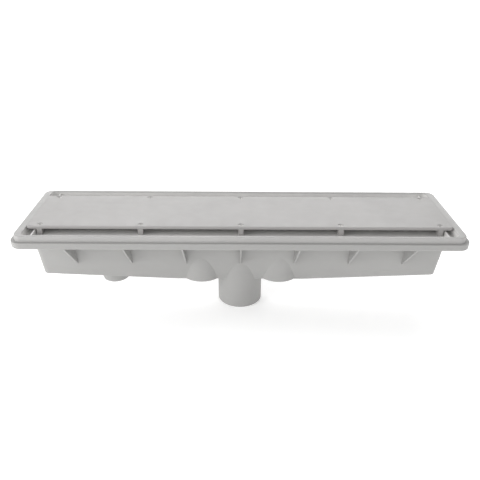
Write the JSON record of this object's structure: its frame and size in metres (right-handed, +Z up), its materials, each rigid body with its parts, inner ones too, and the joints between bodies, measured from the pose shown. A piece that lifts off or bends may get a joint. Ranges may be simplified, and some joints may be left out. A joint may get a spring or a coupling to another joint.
{
  "type": "channel drain",
  "caption": "Long rectangular channel drain: a flat cover plate with slots around it in a raised frame, over a tapered trough with a flange and a central downward outlet pipe.",
  "frame": {"origin": "centre of the outlet pipe's open lower end", "axes": "+X along the channel, +Y across it to the back, +Z up; the cover plate faces up"},
  "size_m": [0.827, 0.222, 0.1964],
  "materials": {
    "sump_plastic": "satin moulded, light grey",
    "frame_plastic": "satin moulded, light grey",
    "cover_plastic": "satin moulded, light grey, fine grain",
    "screw_steel": "stainless, turned",
    "insert_brass": "turned",
    "ring_rubber": "smooth, black"
  },
  "bodies": {
    "root": {"sump_body": "sump_plastic", "mud_frame": "frame_plastic", "cover_plate": "cover_plastic", "cover_screws": "screw_steel", "threaded_inserts": "insert_brass", "frame_screws": "screw_steel", "relief_port_plug": "sump_plastic", "relief_port_oring": "ring_rubber"}
  },
  "joints": []
}
